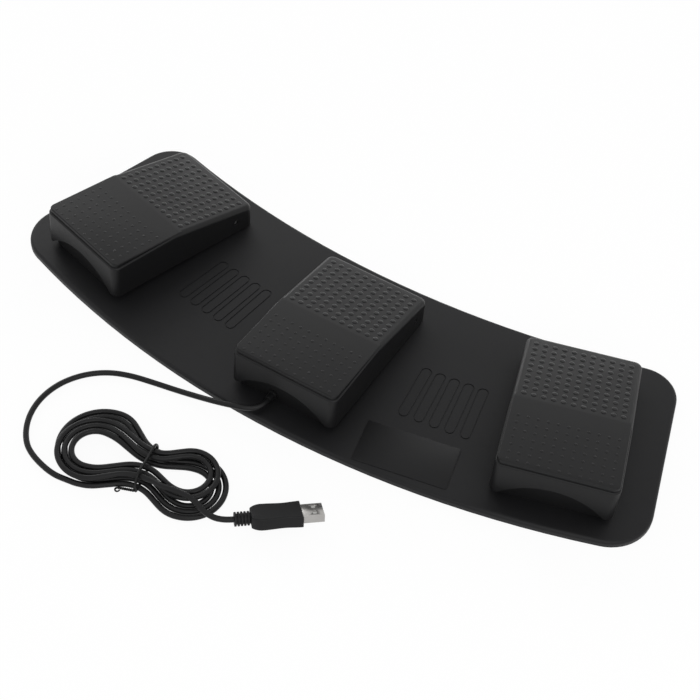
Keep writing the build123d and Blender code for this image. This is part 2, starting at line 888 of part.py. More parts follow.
with BuildPart() as cable_clamp:
    with BuildSketch(Plane((gland_x, toe_y - clamp_place, clamp_bottom))):
        SlotOverall(clamp_length, clamp_width)
        with Locations((-clamp_spread, 0), (clamp_spread, 0)):
            Circle(clamp_screw_radius, mode=Mode.SUBTRACT)
    extrude(amount=clamp_thickness)

with BuildPart() as clamp_screws:
    for x, y in clamp_posts_at:
        with BuildSketch(Plane((x, toe_y + y, clamp_bottom + clamp_thickness))):
            Circle(board_screw_head_radius)
        extrude(amount=board_screw_head_height)
        with BuildSketch(Plane((x, toe_y + y, clamp_bottom + clamp_thickness))):
            Circle(clamp_screw_radius)
        extrude(amount=-clamp_screw_length)

# Hank: five loops and a half. The tube spirals in through the bottom layer, climbs along the innermost
# run, and spirals out through the top layer. Its own frame has +X along the hank and +Y to its near side.
hank_plane = Plane(
    (hank_x, hank_y, 0),
    x_dir=(math.cos(math.radians(hank_angle)), math.sin(math.radians(hank_angle)), 0),
    z_dir=(0, 0, 1),
)
layer_low = cord_radius + hank_table_gap
layer_high = layer_low + cord_diameter + hank_layer_gap


def run_rank(run):
    """How many runs lie outside this one: steps in, then steps out again."""
    return min(run, 2 * hank_half_turns - 2 - run)


def run_reach(run):
    """How far a run lies from the hank's middle line at the lobes."""
    return hank_outer_radius - hank_step / 2 * run_rank(run)


def waist_reach(run):
    """How far a run lies from the hank's middle line under the tie."""
    return hank_outer_radius - hank_draw_in - hank_waist_step / 2 * run_rank(run)


def run_heights(run):
    """Heights at a run's start and end: low, then up the middle run, then high."""
    start = layer_low if run < hank_half_turns else layer_high
    end = layer_low if run < hank_half_turns - 1 else layer_high
    return start, end


hank_runs = 2 * hank_half_turns - 1
with BuildPart() as loops:
    with BuildLine() as hank_route:
        start = Vector(hank_lobe_reach + hank_end_run, run_reach(0), layer_low)
        Line(start, start - Vector(hank_end_run, 0, 0))
        for run in range(hank_runs):
            heading = -1 if run % 2 == 0 else 1
            near = -heading
            reach = run_reach(run)
            low, high = run_heights(run)
            lobe_start = Vector(-heading * hank_lobe_reach, near * reach, low)
            waist = Vector(0, near * waist_reach(run), (low + high) / 2 + hank_tie_lift)
            lobe_end = Vector(heading * hank_lobe_reach, near * reach, high)
            stops = (lobe_start, waist, lobe_end)
            if run == hank_runs - 1:
                waist += Vector(0, 0, hank_end_climb)
                stops = (lobe_start, waist)
            for stop, next_stop in zip(stops, stops[1:]):
                middle = (stop + next_stop) / 2
                TangentArc(stop, middle, tangent=(heading, 0, 0))
                TangentArc(middle, next_stop, tangent=hank_route.line % 1)
            if run < hank_runs - 1:
                next_start = Vector(lobe_end.X, heading * run_reach(run + 1), high)
                TangentArc(lobe_end, next_start, tangent=(heading, 0, 0))
        Line(waist, waist + Vector(heading * hank_end_run, 0, 0))
    with BuildSketch(Plane(start, z_dir=(-1, 0, 0))):
        Circle(cord_radius)
    sweep()

hank_wire = hank_route.wires()[0]
hank_length = hank_wire.length
hank_end = waist + Vector(heading * hank_end_run, 0, 0)
with BuildPart() as cord_hank:
    add(loops.part.moved(hank_plane.location))


def least_gap(route, far_apart, steps):
    """Least gap between parts of a tube's route that lie far apart along it."""
    spots = [route @ (step / steps) for step in range(steps + 1)]
    skip = math.ceil(far_apart / (route.length / steps))
    pairs = ((a, b) for index, a in enumerate(spots) for b in spots[index + skip :])
    return min((a - b).length for a, b in pairs) - cord_diameter


print("hank length", round(hank_length, 1), "volume check", round(
    cord_hank.part.volume / (math.pi * cord_radius**2 * hank_length), 4))
print("hank least gap to itself", round(least_gap(hank_wire, gap_skip, gap_steps), 3))


def on_hank(point):
    return hank_plane.from_local_coords(point)


# Plug: its own frame has +X out of the shell's mouth and +Z out of its top face
plug_flat = Plane(
    (plug_x, plug_y, plug_height),
    x_dir=(math.cos(math.radians(plug_angle)), math.sin(math.radians(plug_angle)), 0),
    z_dir=(0, 0, 1),
)
plug_dipped = plug_flat.location * Location((0, 0, 0), (0, plug_dip, 0))
plug_plane = Plane(plug_dipped * Location((0, 0, 0), (plug_roll, 0, 0)))

# Free stretches of the cord: chosen points, with the straight ends set by the gland, hank and plug
cord_lead_points = [
    (gland_x, gland_end_y, gland_height),
    (gland_x, gland_end_y + cord_exit_run, gland_height),
    (13.0, 83.6, 8.9),
    (22.5, 87.2, 8.9),
    (33.0, 89.2, 7.2),
    (45.0, 90.0, 4.2),
    (59.0, 91.7, 2.2),
    (75.0, 94.6, 1.95),
    (90.0, 97.8, 1.95),
    (103.0, 103.2, 1.95),
    (114.0, 112.8, 1.95),
    (121.6, 126.0, 1.95),
    (123.9, 141.0, 1.95),
    (121.0, 155.5, 1.95),
    (113.5, 168.0, 1.95),
    (103.5, 176.2, 1.95),
    tuple(on_hank(start + Vector(cord_end_run, 0, 0))),
    tuple(on_hank(start)),
]
cord_tail_points = [
    tuple(on_hank(hank_end)),
    tuple(on_hank(hank_end - Vector(tail_start_run, 0, 0))),
    (23.9, 159.6, 10.7),
    (13.3, 156.6, 11.2),
    (2.2, 156.0, 11.1),
    (-7.0, 159.4, 9.4),
    tuple(plug_plane.from_local_coords(Vector(-tail_end_run, 0, 0))),
    tuple(plug_plane.origin),
]

for stretch_name, stretch_points in (("cord_lead", cord_lead_points), ("cord_tail", cord_tail_points)):
    bends = widest_bends(stretch_points)
    stretch = FilletPolyline(*stretch_points, radius=bends)
    solid = tube(stretch_points, bends, cord_radius)
    print(stretch_name, "length", round(stretch.length, 1), "radii", [round(bend, 1) for bend in bends])
    print(stretch_name, "volume check", round(
        solid.volume / (math.pi * cord_radius**2 * stretch.length), 4))
    solid.label = stretch_name
    export_step(solid, f"parts/{stretch_name}.step")

# Tie: a flat band round the bundle, with the twisted ends as a short stem on its near side
far_reach = waist_reach(1) + cord_radius + tie_gap
near_reach = waist_reach(0) + cord_radius + tie_gap
bundle_top = layer_high + hank_tie_lift + hank_end_climb + cord_radius + tie_gap
band_middle = (near_reach - far_reach) / 2
band_width = near_reach + far_reach
band_inner_height = bundle_top - tie_thickness
band_centre = (tie_place, band_middle, tie_thickness + band_inner_height / 2)
with BuildPart() as tie_band:
    with BuildSketch(Plane(band_centre, x_dir=(0, 1, 0), z_dir=(1, 0, 0))):
        RectangleRounded(
            band_width + 2 * tie_thickness,
            band_inner_height + 2 * tie_thickness,
            cord_radius + tie_gap + tie_thickness,
        )
        RectangleRounded(band_width, band_inner_height, cord_radius + tie_gap, mode=Mode.SUBTRACT)
    extrude(amount=tie_width / 2, both=True)
    stem_y = near_reach + tie_thickness + tie_stem_radius - tie_stem_sink
    with BuildSketch(Plane((tie_place, stem_y, layer_low + hank_tie_lift), z_dir=(1, 0, 0))):
        Circle(tie_stem_radius)
    extrude(amount=tie_stem_length)

with BuildPart() as cord_tie:
    add(tie_band.part.moved(hank_plane.location))

# Plug pieces, each built along +X in the plug's frame and then laid in its place
rib_pitch = boot_length / boot_ribs
with BuildPart() as boot_upright:
    with BuildSketch():
        with BuildLine():
            outline = [(0, 0)]
            for rib in range(boot_ribs):
                outline += [(rib * rib_pitch, boot_radius), ((rib + boot_rib_share) * rib_pitch, boot_radius)]
                outline += [((rib + boot_rib_share) * rib_pitch, boot_groove_radius)]
                outline += [((rib + 1) * rib_pitch, boot_groove_radius)]
            Polyline(*outline, (boot_length, 0), close=True)
        make_face()
    revolve(axis=Axis.X)

body_end = boot_length + plug_body_length
shell_end = body_end + shell_length
with BuildPart() as body_upright:
    with BuildSketch(Plane.XY.offset(-plug_body_thickness / 2)):
        with BuildLine():
            rear_edge = (boot_length, plug_body_rear / 2)
            shoulder = (boot_length + plug_body_length * plug_shoulder_share, plug_body_width / 2)
            waist_edge = (boot_length + plug_body_length * plug_waist_share, plug_body_waist / 2)
            front_edge = (body_end, plug_body_width / 2)
            Line((boot_length, 0), rear_edge)
            TangentArc(shoulder, rear_edge, tangent=(-1, 0))
            Spline(shoulder, waist_edge, front_edge, tangents=((1, 0), (1, 0)))
            Line(front_edge, (body_end, 0))
            mirror(about=Plane.XZ)
        make_face()
    extrude(amount=plug_body_thickness)
    fillet(body_upright.edges().filter_by(lambda edge: abs((edge % 0.5).Z) < 0.1), plug_body_round)

with BuildPart() as shell_upright:
    with BuildSketch(Plane.YZ.offset(body_end)):
        Rectangle(shell_width, shell_height)
        Rectangle(shell_width - 2 * shell_wall, shell_height - 2 * shell_wall, mode=Mode.SUBTRACT)
    extrude(amount=shell_length)
    with BuildSketch(Plane.XY.offset(-shell_height)):
        with Locations(
            (shell_end - shell_window_place, -shell_window_spread / 2),
            (shell_end - shell_window_place, shell_window_spread / 2),
        ):
            Rectangle(shell_window, shell_window)
    extrude(amount=2 * shell_height, mode=Mode.SUBTRACT)

tongue_top = shell_height / 2 - shell_wall
tongue_under = tongue_top - tongue_thickness
with BuildPart() as tongue_upright:
    with BuildSketch(Plane.YZ.offset(body_end)):
        with Locations((0, (tongue_top + tongue_under) / 2)):
            Rectangle(tongue_width, tongue_thickness)
    extrude(amount=shell_length - overrun)

with BuildPart() as contacts_upright:
    for share in contact_spacing_shares:
        with BuildSketch(Plane.YZ.offset(body_end)):
            with Locations((share * tongue_width, tongue_under - contact_thickness / 2)):
                Rectangle(contact_width, contact_thickness)
        extrude(amount=shell_length - 2 * overrun)

plug_pieces = {
    "plug_boot": boot_upright,
    "plug_body": body_upright,
    "plug_shell": shell_upright,
    "plug_tongue": tongue_upright,
    "plug_contacts": contacts_upright,
}
for piece_name, piece in plug_pieces.items():
    with BuildPart() as placed:
        add(piece.part.moved(plug_plane.location))
    placed.part.label = piece_name
    export_step(placed.part, f"parts/{piece_name}.step")

shared_pieces = {
    "base_plate": base_plate,
    "anti_slip_mat": anti_slip_mat,
    "label_sticker": label_sticker,
    "controller_board": controller_board,
    "controller_chip": controller_chip,
    "board_screws": board_screws,
    "board_connectors": board_connectors,
    "left_switch_leads": left_switch_leads,
    "middle_switch_leads": middle_switch_leads,
    "right_switch_leads": right_switch_leads,
    "cable_gland": cable_gland,
    "cable_end": cable_end,
    "cable_cores": cable_cores,
    "cable_clamp": cable_clamp,
    "clamp_screws": clamp_screws,
    "cord_hank": cord_hank,
    "cord_tie": cord_tie,
}
for piece_name, piece in shared_pieces.items():
    piece.part.label = piece_name
    export_step(piece.part, f"parts/{piece_name}.step")
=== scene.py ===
import json
import math

import bmesh
import bpy
from mathutils import Matrix, Vector


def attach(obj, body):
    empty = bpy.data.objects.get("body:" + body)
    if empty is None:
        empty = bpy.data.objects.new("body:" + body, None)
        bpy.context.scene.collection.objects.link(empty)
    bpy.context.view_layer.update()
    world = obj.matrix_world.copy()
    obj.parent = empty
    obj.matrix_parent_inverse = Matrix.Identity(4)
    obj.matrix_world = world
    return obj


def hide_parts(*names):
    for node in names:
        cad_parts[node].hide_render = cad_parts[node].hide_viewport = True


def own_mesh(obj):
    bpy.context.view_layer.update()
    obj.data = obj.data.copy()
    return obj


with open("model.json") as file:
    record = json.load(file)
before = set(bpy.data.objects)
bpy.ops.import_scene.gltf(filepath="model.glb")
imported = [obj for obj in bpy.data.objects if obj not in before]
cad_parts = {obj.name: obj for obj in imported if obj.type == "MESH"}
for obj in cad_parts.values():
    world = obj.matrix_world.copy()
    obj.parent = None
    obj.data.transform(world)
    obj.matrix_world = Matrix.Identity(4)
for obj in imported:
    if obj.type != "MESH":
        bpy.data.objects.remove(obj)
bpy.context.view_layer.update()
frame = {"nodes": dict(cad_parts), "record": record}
nodes = frame["nodes"]
scene = bpy.context.scene
MM = 0.001


def mm(*values):
    """A point given in millimetres, as a vector in metres."""
    return Vector(values) * MM


# Camera: at the photograph's place, with its long lens
camera_data = bpy.data.cameras.new("camera")
camera_data.lens = 72.14
camera_data.sensor_width = 36.0
camera_data.clip_start = 0.01
camera_data.clip_end = 50.0
camera = bpy.data.objects.new("camera", camera_data)
scene.collection.objects.link(camera)
camera_right = Vector((-0.85392244, -0.51702993, 0.05913135))
camera_up = Vector((0.42315188, -0.62371063, 0.65721194))
camera_back = Vector((-0.30291739, 0.58622957, 0.75138269))
camera.matrix_world = Matrix.Translation(mm(-273.35, 516.95, 657.28)) @ Matrix(
    (camera_right, camera_up, camera_back)
).transposed().to_4x4()
scene.camera = camera

# The cable: its route from the outlet to the plug, in millimetres. It follows the CAD tube, with its loops
# moved towards the photograph.
CABLE_DIAMETER = 3.5
CABLE_RADIUS = CABLE_DIAMETER / 2
OUTLET = (8.0, 72.4, 9.2)
PLUG_PLACE = (-22.89, 153.3, 8.19)
PLUG_ANGLE = math.radians(221.0)
PLUG_DIP = math.radians(2.75)
PLUG_ROLL = math.radians(-19.5)

# The hank: loops in two layers, drawn in at a waist under the tie
HANK_PLACE = (43.5, 148.5, 0.0)
HANK_ANGLE = math.radians(8.5)
# Middle (along, across) and outer radius of each lobe, by layer (0 low, 1 high) and by end
LOBES = {
    (0, 1): (28.5, -2.2, 28.6), (0, -1): (30.5, 0.8, 22.3),
    (1, 1): (29.5, 2.2, 22.3), (1, -1): (27.5, -2.8, 20.0),
}
# From one loop to the next one inside it, in a lobe and at the waist
LOBE_STEP = 4.1
WAIST_STEP = 4.4
# The waist's place along the hank, and how far out its outer run lies, by layer
WAIST_PLACE = -3.5
WAIST_REACHES = (14.2, 11.2)
# Heights at the waist: all runs are lifted, the one that changes layer less, and the last one more
TIE_LIFT = 1.0
CLIMB_DROP = 1.6
LAST_CLIMB = 2.5
HALF_TURNS = 6
LAYER_LOW = 1.95
LAYER_HIGH = 5.9
LAYER_HEIGHTS = (LAYER_LOW, LAYER_HIGH)
# Straight stretches where the lead meets the hank, the hank meets the tail and the tail meets the plug
HANK_END_RUN = 3.5
LEAD_END_RUN = 13.0
TAIL_START_RUN = 6.0
PLUG_RUN = 7.8
RUNS = 2 * HALF_TURNS - 1
POINTS_ALONG_RUN = 4
POINTS_ROUND_LOBE = 8


def on_hank(x, y, z):
    """A point of the hank's own frame, in the part's frame."""
    c, s = math.cos(HANK_ANGLE), math.sin(HANK_ANGLE)
    return (HANK_PLACE[0] + c * x - s * y, HANK_PLACE[1] + s * x + c * y, z)


def run_rank(run):
    """How many runs lie outside this one."""
    return min(run, RUNS - 1 - run)


def run_layers(run):
    """The layers at a run's start and its end."""
    return int(run >= HALF_TURNS), int(run >= HALF_TURNS - 1)


def lobe_spot(run, layer, end):
    """A run's place along and across the hank where it meets a lobe."""
    along, across, radius = LOBES[layer, end]
    side = 1 if run % 2 == 0 else -1
    return end * along, across + side * (radius - LOBE_STEP / 2 * run_rank(run))


def eased(part):
    """From 0 to 1 with level ends, as two arcs would go."""
    return 2 * part * part if part < 0.5 else 1 - 2 * (1 - part) ** 2


def hank_points():
    """Control points of the hank's loops: in through the bottom layer, out through the top one."""
    points = []
    for run in range(RUNS):
        heading = -1 if run % 2 == 0 else 1
        before, after = run_layers(run)
        low, high = LAYER_HEIGHTS[before], LAYER_HEIGHTS[after]
        last = run == RUNS - 1
        waist_height = (low + high) / 2 + TIE_LIFT + (LAST_CLIMB if last else 0)
        if before != after:
            waist_height -= CLIMB_DROP
        waist = -heading * (WAIST_REACHES[before] - WAIST_STEP / 2 * run_rank(run))
        along, across = lobe_spot(run, before, -heading)
        for step in range(POINTS_ALONG_RUN + 1):
            part = step / POINTS_ALONG_RUN
            points.append(on_hank(
                along + (WAIST_PLACE - along) * part,
                across + (waist - across) * eased(part),
                low + (waist_height - low) * eased(part),
            ))
        if last:
            break
        along, across = lobe_spot(run, after, heading)
        for step in range(1, POINTS_ALONG_RUN + 1):
            part = step / POINTS_ALONG_RUN
            points.append(on_hank(
                WAIST_PLACE + (along - WAIST_PLACE) * part,
                waist + (across - waist) * eased(part),
                waist_height + (high - waist_height) * eased(part),
            ))
        next_across = lobe_spot(run + 1, after, heading)[1]
        radius = (across - next_across) / 2
        for step in range(1, POINTS_ROUND_LOBE):
            turn = math.pi * step / POINTS_ROUND_LOBE
            points.append(on_hank(
                along + heading * abs(radius) * math.sin(turn),
                (across + next_across) / 2 + radius * math.cos(turn),
                high,
            ))
    return points


start_along, start_across = lobe_spot(0, 0, 1)
hank_start = (start_along + HANK_END_RUN, start_across, LAYER_LOW)
hank_end = (WAIST_PLACE - HANK_END_RUN, WAIST_REACHES[1], LAYER_HIGH + TIE_LIFT + LAST_CLIMB)
plug_heading = Matrix.Rotation(PLUG_ANGLE, 4, "Z") @ Matrix.Rotation(PLUG_DIP, 4, "Y")
PLUG_MATRIX = Matrix.Translation(Vector(PLUG_PLACE)) @ plug_heading @ Matrix.Rotation(PLUG_ROLL, 4, "X")
lead_points = [
    OUTLET,
    (8.0, 77.9, 9.2),
    (13.0, 83.6, 8.9),
    (22.5, 87.2, 8.9),
    (33.0, 89.2, 7.2),
    (45.0, 90.0, 4.2),
    (59.0, 91.7, 2.2),
    (75.0, 94.6, LAYER_LOW),
    (90.0, 97.8, LAYER_LOW),
    (103.0, 103.2, LAYER_LOW),
    (114.0, 112.8, LAYER_LOW),
    (121.6, 126.0, LAYER_LOW),
    (123.9, 141.0, LAYER_LOW),
    (121.0, 155.5, LAYER_LOW),
    (113.5, 168.0, LAYER_LOW),
    (103.5, 176.2, LAYER_LOW),
    on_hank(hank_start[0] + LEAD_END_RUN, hank_start[1], hank_start[2]),
    on_hank(*hank_start),
]
tail_points = [
    on_hank(*hank_end),
    on_hank(hank_end[0] - TAIL_START_RUN, hank_end[1], hank_end[2]),
    (22.0, 158.6, 10.7),
    (13.3, 156.6, 11.2),
    (2.2, 156.0, 11.1),
    (-7.0, 159.4, 9.4),
    tuple(PLUG_MATRIX @ Vector((-PLUG_RUN, 0, 0))),
    PLUG_PLACE,
]


def smooth_curve(name, points, radius):
    """A round tube along one open NURBS spline with these control points, in millimetres."""
    data = bpy.data.curves.new(name, "CURVE")
    data.dimensions = "3D"
    data.resolution_u = 6
    data.bevel_depth = radius * MM
    data.bevel_resolution = 5
    data.use_fill_caps = True
    spline = data.splines.new("NURBS")
    spline.points.add(len(points) - 1)
    for spot, point in zip(spline.points, points):
        spot.co = (*mm(*point), 1)
    spline.order_u = 3
    spline.use_endpoint_u = True
    piece = bpy.data.objects.new(name, data)
    scene.collection.objects.link(piece)
    return piece


cable = smooth_curve("cable", lead_points + hank_points() + tail_points, CABLE_RADIUS)


# Materials
class Amount:
    """A value that changes over a surface, so that sums on it are written as plain sums."""

    def __init__(self, finish, socket):
        self.finish = finish
        self.socket = socket

    def sum_of(self, operation, *parts):
        return self.finish.add("ShaderNodeMath", {"operation": operation}, dict(enumerate(parts)))

    def __add__(self, other):
        return self.sum_of("ADD", self, other)

    __radd__ = __add__

    def __sub__(self, other):
        return self.sum_of("SUBTRACT", self, other)

    def __mul__(self, other):
        return self.sum_of("MULTIPLY", self, other)

    __rmul__ = __mul__

    def above(self, low, high):
        """0 under low, 1 over high, and a smooth step between."""
        return self.finish.add(
            "ShaderNodeMapRange",
            {"interpolation_type": "SMOOTHSTEP", "clamp": True},
            {"Value": self, "From Min": low, "From Max": high},
            "Result",
        )


class Finish:
    """A material of one Principled surface, and the way its nodes are added."""

    def __init__(self, name):
        self.material = bpy.data.materials.new(name)
        self.material.use_nodes = True
        self.tree = self.material.node_tree
        self.surface = self.tree.nodes["Principled BSDF"]
        self.places = self.add("ShaderNodeTexCoord", {}, {}, "Object")

    def add(self, kind, settings, inputs, output=0):
        """A node of this type, its settings first and then its sockets' values or links."""
        node = self.tree.nodes.new(kind)
        for name, value in settings.items():
            setattr(node, name, value)
        for name, value in inputs.items():
            self.fill(node.inputs[name], value)
        return Amount(self, node.outputs[output])

    def fill(self, socket, value):
        if isinstance(value, Amount):
            self.tree.links.new(value.socket, socket)
        else:
            socket.default_value = value

    def set(self, **sockets):
        """Values or links of the surface's own sockets, named with underscores for spaces."""
        for name, value in sockets.items():
            self.fill(self.surface.inputs[name.replace("_", " ")], value)

    def grain(self, size, detail, roughness=0.5):
        """Noise whose grains are about so many millimetres wide, from 0 to 1."""
        scale = 1 / (size * MM)
        sockets = {"Vector": self.places, "Scale": scale, "Detail": detail, "Roughness": roughness}
        return self.add("ShaderNodeTexNoise", {}, sockets, "Fac")

    def blend(self, part, first, second):
        """A colour between two, by a value that changes over the surface."""
        settings = {"data_type": "RGBA", "clamp_factor": True}
        sockets = {0: part, 6: (*first, 1.0), 7: (*second, 1.0)}
        return self.add("ShaderNodeMix", settings, sockets, 2)

    def relief(self, height, depth):
        """A surface normal for a relief so many millimetres deep."""
        sockets = {"Height": height, "Distance": depth * MM, "Strength": 1.0}
        self.set(Normal=self.add("ShaderNodeBump", {}, sockets))
        return self


def moulded(name, dark, light, gloss, grain_size, grain_depth, shine=0.22):
    """Matt moulded plastic: spark-eroded grain, a slow drift in tone, and gloss that follows the grain."""
    finish = Finish(name)
    grain = finish.grain(grain_size, detail=3.0)
    drift = finish.grain(38.0, detail=1.0)
    wear = finish.grain(6.0, detail=4.0, roughness=0.6).above(0.52, 0.74)
    finish.set(
        Base_Color=finish.blend(0.55 * drift + 0.45 * grain, dark, light),
        Roughness=gloss + 0.10 * (grain - 0.5) + 0.06 * wear,
        Specular_IOR_Level=shine,
    )
    return finish.relief(grain, grain_depth)


def metal(name, dark, light, gloss, streak):
    """Drawn or plated metal with fine streaks."""
    finish = Finish(name)
    grain = finish.grain(streak, detail=4.0)
    cloud = finish.grain(7.0, detail=2.0)
    finish.set(
        Base_Color=finish.blend(0.6 * cloud + 0.4 * grain, dark, light),
        Metallic=1.0,
        Roughness=gloss + 0.12 * (grain - 0.5),
    )
    return finish.relief(grain, 0.006)


# By slot: darkest and lightest tone, roughness, and the grain's width and depth in millimetres. The metals
# have the streaks' width alone.
finishes = {
    "pedal_plastic": moulded(
        "pedal_black", (0.0075, 0.0075, 0.008), (0.0125, 0.0125, 0.013), 0.42, 0.35, 0.02
    ),
    "plate_plastic": moulded("plate_black", (0.008, 0.008, 0.0087), (0.013, 0.013, 0.014), 0.46, 0.45, 0.022),
    "base_plastic": moulded("housing_black", (0.006, 0.006, 0.0063), (0.01, 0.01, 0.0105), 0.5, 0.4, 0.02),
    "mat_rubber": moulded("mat_rubber", (0.012, 0.012, 0.012), (0.02, 0.02, 0.02), 0.82, 0.8, 0.05, 0.3),
    "label_film": moulded("label_film", (0.006, 0.006, 0.0065), (0.009, 0.009, 0.0097), 0.46, 0.9, 0.004),
    "cable_jacket": moulded("cable_black", (0.007, 0.007, 0.0075), (0.011, 0.011, 0.0115), 0.36, 0.5, 0.008),
    "plug_plastic": moulded("plug_black", (0.006, 0.006, 0.0065), (0.010, 0.010, 0.0105), 0.48, 0.3, 0.012),
    "tie_plastic": moulded("tie_black", (0.005, 0.005, 0.005), (0.008, 0.008, 0.008), 0.4, 0.5, 0.01),
    "switch_plastic": moulded("switch_black", (0.02, 0.02, 0.022), (0.03, 0.03, 0.032), 0.35, 0.3, 0.008),
    "board": moulded("board_green", (0.012, 0.09, 0.035), (0.02, 0.13, 0.055), 0.35, 0.6, 0.01),
    "chip": moulded("chip_black", (0.012, 0.012, 0.013), (0.02, 0.02, 0.021), 0.55, 0.2, 0.01),
    "connector_plastic": moulded("connector_cream", (0.66, 0.64, 0.57), (0.74, 0.72, 0.66), 0.4, 0.4, 0.008),
    "lead_jacket": moulded("lead_red", (0.25, 0.012, 0.012), (0.34, 0.02, 0.02), 0.4, 0.4, 0.006),
    "tongue_plastic": moulded("tongue_white", (0.74, 0.74, 0.71), (0.82, 0.82, 0.80), 0.4, 0.3, 0.006),
    "steel": metal("zinc_plate", (0.5, 0.5, 0.5), (0.66, 0.66, 0.65), 0.3, 0.25),
    "black_steel": metal("black_zinc", (0.05, 0.05, 0.055), (0.1, 0.1, 0.105), 0.4, 0.25),
    "spring_steel": metal("spring_wire", (0.4, 0.4, 0.41), (0.56, 0.56, 0.56), 0.32, 0.3),
    "plug_steel": metal("nickel_plate", (0.35, 0.34, 0.33), (0.47, 0.46, 0.445), 0.3, 0.2),
    "contact_metal": metal("gold_flash", (0.7, 0.5, 0.18), (0.86, 0.66, 0.28), 0.25, 0.2),
}
slot_of = {row["node"]: row["material_slot"] for row in frame["record"]["subparts"]}
body_of = {name: body for body, names in frame["record"]["behaviour"]["bodies"].items() for name in names}


def coat(piece, slot):
    """Gives a piece the finish of a slot, in place of what it had."""
    piece.data.materials.clear()
    piece.data.materials.append(finishes[slot].material)


for node_name, node in nodes.items():
    coat(node, slot_of[node_name])


CREASE = math.radians(32.0)


def soften(mesh):
    """Smooth shading, except across edges that turn by more than the crease angle."""
    shape = bmesh.new()
    shape.from_mesh(mesh)
    for face in shape.faces:
        face.smooth = True
    for edge in shape.edges:
        edge.smooth = len(edge.link_faces) == 2 and edge.calc_face_angle(0.0) < CREASE
    shape.to_mesh(mesh)
    shape.free()


def as_mesh(piece):
    """The piece with its modifiers or its curve turned into a plain mesh."""
    bpy.context.view_layer.update()
    result = bpy.data.meshes.new_from_object(piece.evaluated_get(bpy.context.evaluated_depsgraph_get()))
    plain = bpy.data.objects.new(piece.name, result)
    old_name = piece.name
    old_data = piece.data
    bpy.data.objects.remove(piece)
    scene.collection.objects.link(plain)
    plain.name = old_name
    if isinstance(old_data, bpy.types.Mesh) and old_data.users == 0:
        bpy.data.meshes.remove(old_data)
    return plain


def place(piece, body, slot, *replaced):
    """Coats a finished piece, and fixes it to its body."""
    coat(piece, slot)
    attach(piece, body)
    if replaced:
        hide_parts(*replaced)
    return piece


def skin(node_name, name, bevel=0.0, grooves=None):
    """A merged copy of a CAD node that shades smoothly, its edges broken or grooves cut if asked."""
    mesh = nodes[node_name].data.copy()
    shape = bmesh.new()
    shape.from_mesh(mesh)
    bmesh.ops.remove_doubles(shape, verts=shape.verts, dist=1e-6)
    bmesh.ops.dissolve_limit(shape, angle_limit=math.radians(0.4), verts=shape.verts, edges=shape.edges)
    shape.to_mesh(mesh)
    shape.free()
    piece = bpy.data.objects.new(name, mesh)
    scene.collection.objects.link(piece)
    if bevel:
        edges = piece.modifiers.new("edges", "BEVEL")
        edges.width = bevel * MM
        edges.segments = 2
        edges.limit_method = "ANGLE"
        edges.angle_limit = math.radians(40)
        edges.use_clamp_overlap = True
    if grooves:
        cut = piece.modifiers.new("grooves", "BOOLEAN")
        cut.operation = "DIFFERENCE"
        cut.solver = "EXACT"
        cut.object = grooves
    if bevel or grooves:
        piece = as_mesh(piece)
    soften(piece.data)
    return place(piece, body_of[node_name], slot_of[node_name], node_name)


# The pedals: their fan, and the heights of their tops at the toe edge, at the kink and at the heel
PEDAL_FAN = {"left": -1, "middle": 0, "right": 1}
FAN_RADIUS = 616.5
FAN_ANGLE = 15.64
TOE_LINE = 69.5
KINK_PLACE = 51.5
TOE_HEIGHT = 35.65
KINK_HEIGHT = 33.1
HEEL_HEIGHT = 21.6
PEDAL_LENGTH = 112.0
TOE_SLOPE = (TOE_HEIGHT - KINK_HEIGHT) / KINK_PLACE
HEEL_SLOPE = (KINK_HEIGHT - HEEL_HEIGHT) / (PEDAL_LENGTH - KINK_PLACE)


def pedal_matrix(side):
    """The pedal's own frame: origin on the table under its toe edge, +Y out past the toe."""
    turn = math.radians(FAN_ANGLE * PEDAL_FAN[side])
    centre_y = TOE_LINE - FAN_RADIUS
    spot = (FAN_RADIUS * math.sin(turn), centre_y + FAN_RADIUS * math.cos(turn), 0)
    return Matrix.Translation(mm(*spot)) @ Matrix.Rotation(-turn, 4, "Z")


class Tree:
    """A geometry tree with named inputs."""

    def __init__(self, name, inputs):
        self.tree = bpy.data.node_groups.new(name, "GeometryNodeTree")
        self.tree.interface.new_socket("Geometry", in_out="OUTPUT", socket_type="NodeSocketGeometry")
        self.sockets = {}
        for label, kind in inputs.items():
            self.sockets[label] = self.tree.interface.new_socket(label, in_out="INPUT", socket_type=kind)
        self.source = self.tree.nodes.new("NodeGroupInput")
        self.result = self.tree.nodes.new("NodeGroupOutput")

    def add(self, kind, settings, inputs, output=0):
        node = self.tree.nodes.new(kind)
        for name, value in settings.items():
            setattr(node, name, value)
        for name, value in inputs.items():
            if isinstance(value, bpy.types.NodeSocket):
                self.tree.links.new(value, node.inputs[name])
            else:
                node.inputs[name].default_value = value
        return node.outputs[output]

    def maths(self, operation, first, second):
        return self.add("ShaderNodeMath", {"operation": operation}, {0: first, 1: second})

    def asked(self, label):
        return self.source.outputs[label]

    def use(self, name, values):
        """A plain mesh piece grown from this tree with these values."""
        piece = bpy.data.objects.new(name, bpy.data.meshes.new(name))
        scene.collection.objects.link(piece)
        modifier = piece.modifiers.new("grow", "NODES")
        modifier.node_group = self.tree
        for label, value in values.items():
            modifier[self.sockets[label].identifier] = value
        return as_mesh(piece)


